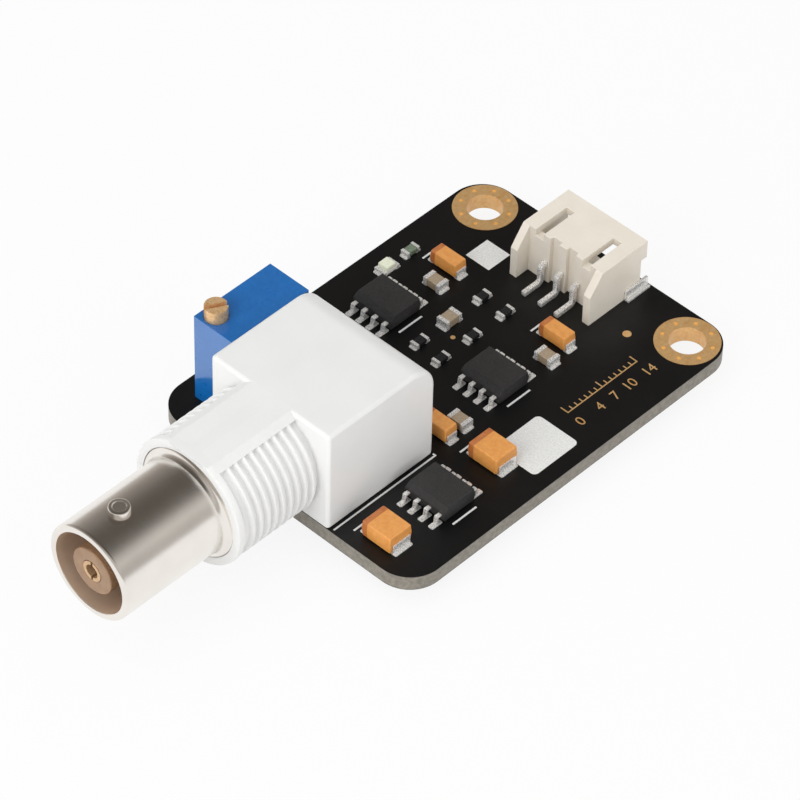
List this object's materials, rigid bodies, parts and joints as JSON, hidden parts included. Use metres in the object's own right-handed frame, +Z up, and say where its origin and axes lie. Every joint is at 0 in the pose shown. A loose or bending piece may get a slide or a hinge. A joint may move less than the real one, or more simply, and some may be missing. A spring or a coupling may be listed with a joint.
{
  "type": "ph sensor interface board",
  "caption": "Circuit board that joins a pH probe to a controller: coaxial bayonet socket at one end, pin connector at the other, blue trimmer with a geared adjusting screw.",
  "frame": {"origin": "under the middle of the whole outline, level with the lowest pin tips", "axes": "+X from the coaxial socket to the pin connector, +Y towards the trimmer's side of the board, +Z up from the board's component side"},
  "size_m": [0.0648, 0.032, 0.0146],
  "materials": {
    "contact_gold": "gold plate",
    "tin": "tinned metal",
    "white_moulding": "smooth white moulding",
    "insulator": "warm white insulator",
    "nickel": "nickel plate",
    "ceramic_tan": "fired ceramic",
    "chip_black": "moulded package",
    "board": "dark solder mask on glass fibre",
    "diode_green": "glassy package",
    "led_white": "white substrate",
    "led_lens": "clear resin",
    "gold_plate": "gold plate",
    "resistor_black": "glazed top",
    "cream_moulding": "cream moulding",
    "capacitor_orange": "moulded package",
    "base_resin": "cast resin",
    "element_ceramic": "ceramic plate",
    "blue_moulding": "smooth blue moulding",
    "rotor_plastic": "moulded wheel",
    "brass": "turned brass",
    "seal_rubber": "rubber ring"
  },
  "bodies": {
    "board": {"bnc_center_contact": "contact_gold", "bnc_ground_contact": "tin", "bnc_housing": "white_moulding", "bnc_insulator": "insulator", "bnc_post_far": "tin", "bnc_post_near": "tin", "bnc_shell": "nickel", "ceramic_1_body": "ceramic_tan", "ceramic_2_body": "ceramic_tan", "ceramic_3_body": "ceramic_tan", "ceramic_4_body": "ceramic_tan", "ceramic_terminals": "tin", "chip_1_body": "chip_black", "chip_1_leads": "tin", "chip_2_body": "chip_black", "chip_2_leads": "tin", "chip_3_body": "chip_black", "chip_3_leads": "tin", "chip_terminals": "tin", "circuit_board": "board", "diode_body": "diode_green", "led_base": "led_white", "led_lens": "led_lens", "mounting_ring_far": "gold_plate", "mounting_ring_near": "gold_plate", "resistor_1_body": "resistor_black", "resistor_2_body": "resistor_black", "resistor_3_body": "resistor_black", "resistor_4_body": "resistor_black", "resistor_5_body": "resistor_black", "socket_contact_1": "tin", "socket_contact_2": "tin", "socket_contact_3": "tin", "socket_housing": "cream_moulding", "socket_tab_far": "tin", "socket_tab_near": "tin", "solder_joints": "tin", "tantalum_1_body": "capacitor_orange", "tantalum_1_terminals": "tin", "tantalum_2_body": "capacitor_orange", "tantalum_2_terminals": "tin", "tantalum_3_body": "capacitor_orange", "tantalum_3_terminals": "tin", "tantalum_4_body": "capacitor_orange", "tantalum_4_terminals": "tin", "tantalum_5_body": "capacitor_orange", "tantalum_5_terminals": "tin", "trimmer_base": "base_resin", "trimmer_element": "element_ceramic", "trimmer_housing": "blue_moulding", "trimmer_pin_1": "tin", "trimmer_pin_2": "tin", "trimmer_pin_3": "tin"},
    "screw": {"trimmer_screw": "brass", "trimmer_seal": "seal_rubber"},
    "rotor": {"trimmer_rotor": "rotor_plastic", "trimmer_wiper": "tin"}
  },
  "joints": [
    {"name": "screw_turn", "type": "hinge", "parent": "board", "child": "screw", "pos_m": [-0.0059, 0.01253, 0.01313], "axis": [0, 0, 1], "range_deg": [-4500, 4500]},
    {"name": "rotor_turn", "type": "hinge", "parent": "board", "child": "rotor", "pos_m": [-0.00222, 0.01253, 0.00847], "axis": [0, 1, 0], "range_deg": [-150, 150]}
  ],
  "couplings": [
    {"joint": "rotor_turn", "follows": "screw_turn", "ratio": -0.033333}
  ]
}
